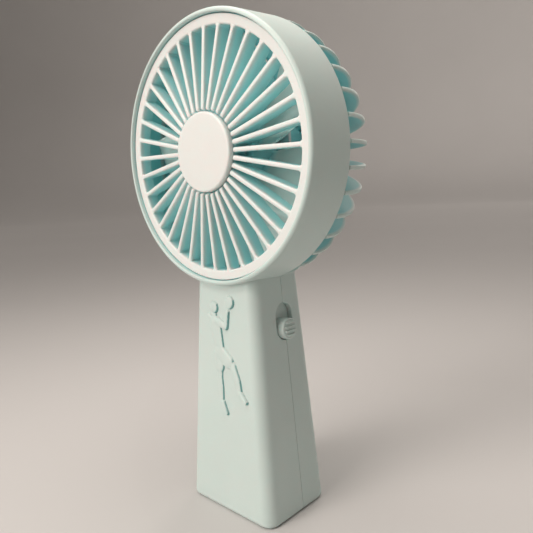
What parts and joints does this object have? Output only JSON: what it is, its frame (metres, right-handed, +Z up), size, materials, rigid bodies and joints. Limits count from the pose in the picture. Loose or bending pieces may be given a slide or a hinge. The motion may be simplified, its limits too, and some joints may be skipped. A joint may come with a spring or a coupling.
{
  "type": "handheld electric fan",
  "caption": "Handheld fan with a round ribbed grille, a domed finned guard at the back and a tapered grip that stands on its own base, with a slide switch on its side.",
  "frame": {"origin": "centre of the flat face under the grip, on which the fan stands", "axes": "+Z up the grip to the head, -Y the way the front grille faces, +X the side with the slide switch"},
  "size_m": [0.102, 0.0493, 0.1946],
  "materials": {
    "shell_plastic": "satin moulded, pale mint",
    "impeller_plastic": "satin moulded, mint",
    "grille_plastic": "satin moulded, warm cream",
    "steel": "bright rolled steel",
    "laminations": "stacked laminations",
    "ferrite": "matt sintered",
    "brass": "plain",
    "bronze": "sintered bronze",
    "black_plastic": "satin",
    "white_plastic": "satin",
    "red_plastic": "smooth insulation",
    "board": "solder mask",
    "cell_sleeve": "shrunk sleeve",
    "foam": "closed-cell foam",
    "clear_plastic": "clear moulded"
  },
  "bodies": {
    "housing": {"front_shell": "shell_plastic", "rear_shell": "shell_plastic", "front_grille": "grille_plastic", "grille_centre_cap": "grille_plastic", "motor_can": "steel", "motor_end_bell": "white_plastic", "motor_front_bushing": "bronze", "motor_rear_bushing": "bronze", "motor_retainer": "steel", "motor_magnet_left": "ferrite", "motor_magnet_right": "ferrite", "motor_brush_left": "brass", "motor_brush_right": "brass", "motor_terminal_left": "brass", "motor_terminal_right": "brass", "retainer_screw_left": "steel", "retainer_screw_right": "steel", "board_screw_left": "steel", "board_screw_right": "steel", "shell_screw_lower_left": "steel", "shell_screw_lower_right": "steel", "shell_screw_top": "steel", "motor_lead_black": "black_plastic", "motor_lead_red": "red_plastic", "battery_cell": "cell_sleeve", "battery_pad": "foam", "battery_positive_tab": "steel", "battery_negative_tab": "steel", "circuit_board": "board", "usb_socket": "steel", "usb_tongue": "black_plastic", "charge_led": "white_plastic", "indicator_lens": "clear_plastic", "charger_chip": "black_plastic", "power_inductor": "ferrite", "filter_capacitor": "steel", "motor_plug": "white_plastic", "switch_body": "steel"},
    "rotor": {"impeller": "impeller_plastic", "motor_shaft": "steel", "motor_armature": "laminations", "motor_commutator": "brass"},
    "slider": {"switch_knob": "shell_plastic", "switch_lever": "black_plastic"}
  },
  "joints": [
    {"name": "impeller_spin", "type": "hinge", "parent": "housing", "child": "rotor", "pos_m": [0, 0, 0.1436], "axis": [0, -1, 0], "continuous": true},
    {"name": "switch_slide", "type": "slide", "parent": "housing", "child": "slider", "axis": [-0.0732, 0, 0.9973], "range_m": [0, 0.0056]}
  ]
}
